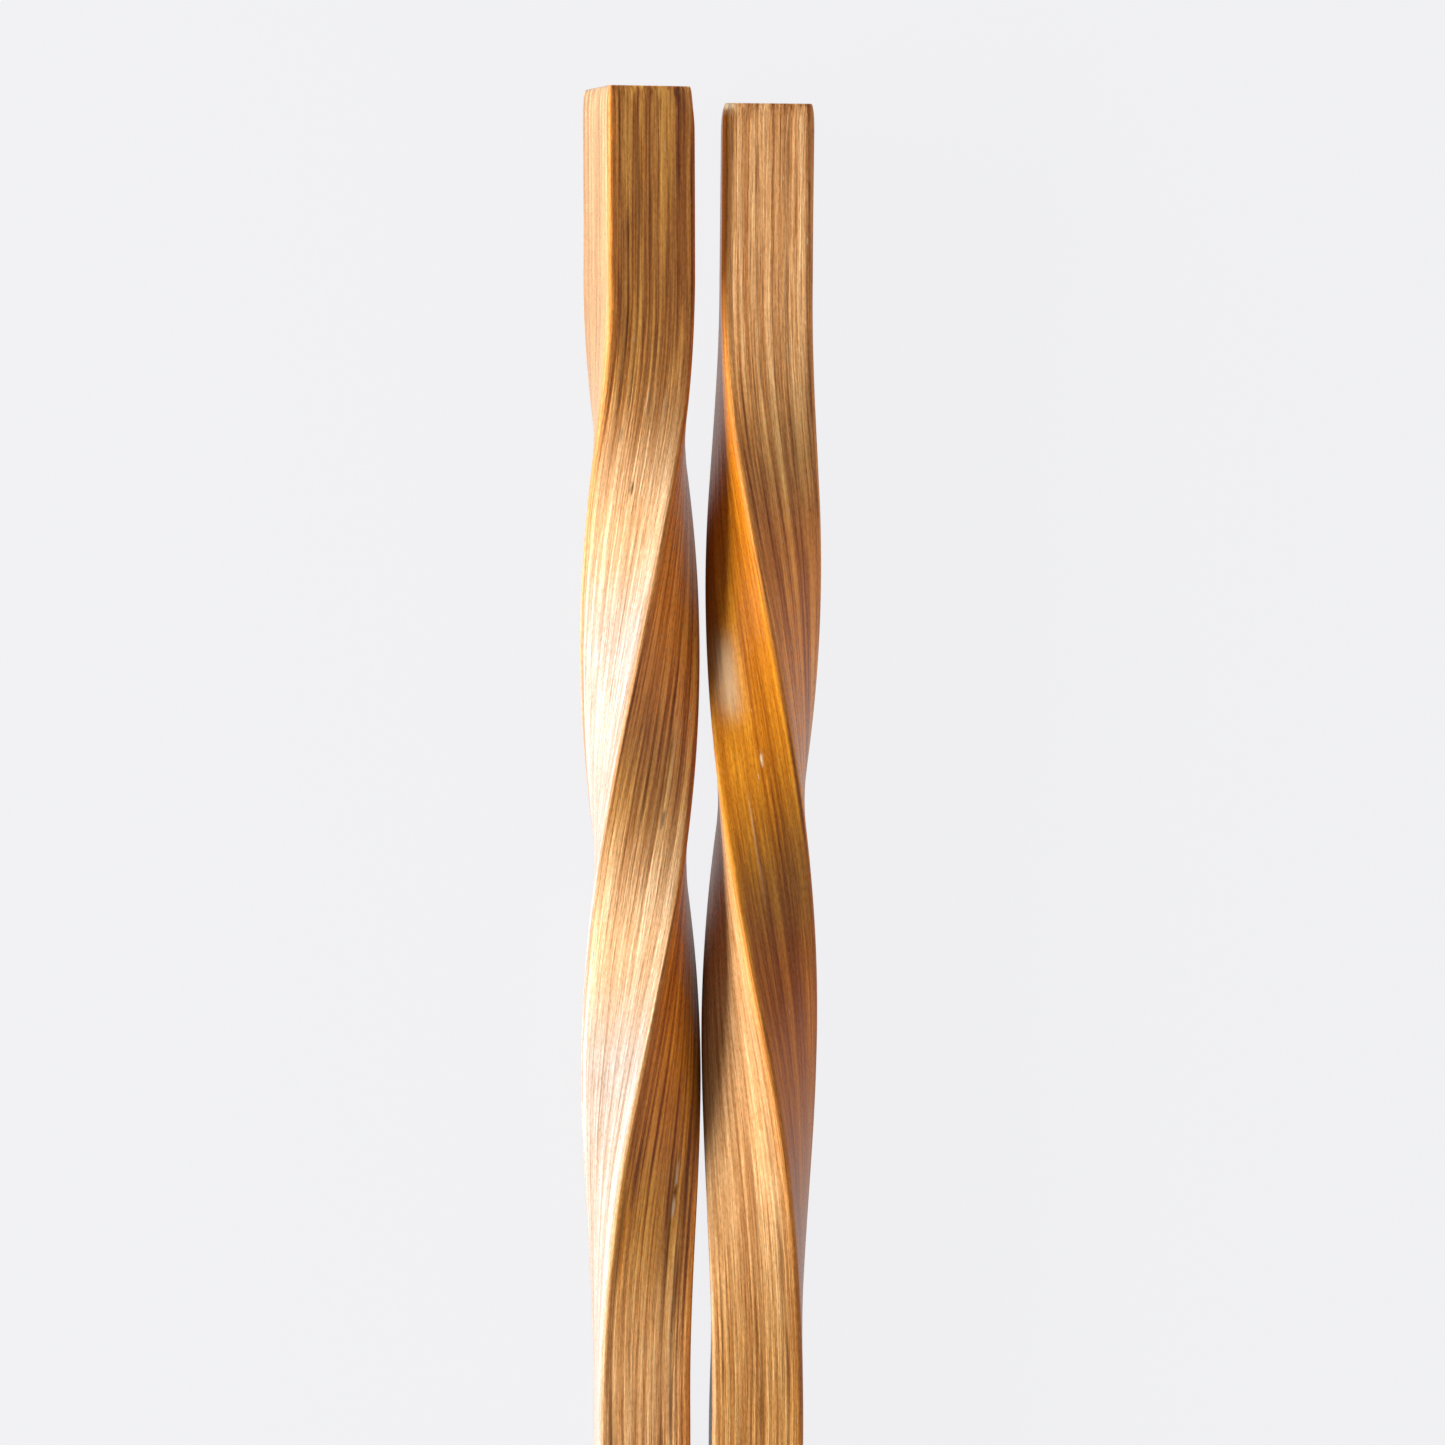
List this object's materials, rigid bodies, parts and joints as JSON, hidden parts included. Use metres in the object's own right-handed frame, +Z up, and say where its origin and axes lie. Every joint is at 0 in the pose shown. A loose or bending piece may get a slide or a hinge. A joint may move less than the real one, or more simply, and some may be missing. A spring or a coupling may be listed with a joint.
{
  "type": "chopsticks",
  "caption": "Loose bamboo chopsticks with square handles twisted in opposite directions, tapering to slim round tips, for picking up food.",
  "frame": {"origin": "on the table, under the middle of the pair's bounding box", "axes": "+Z up from the table the sticks lie on, +Y along the sticks towards their butt ends, +X from the left stick to the right stick"},
  "size_m": [0.0194, 0.2415, 0.0105],
  "materials": {
    "bamboo_left": "satin steamed bamboo, a little darker and redder",
    "bamboo_right": "satin steamed bamboo, a little paler"
  },
  "bodies": {
    "left": {"left_stick": "bamboo_left"},
    "right": {"right_stick": "bamboo_right"}
  },
  "joints": [
    {"name": "right_stick_slide", "type": "slide", "parent": "left", "child": "right", "axis": [1, 0, 0], "range_m": [0, 0.04]}
  ]
}
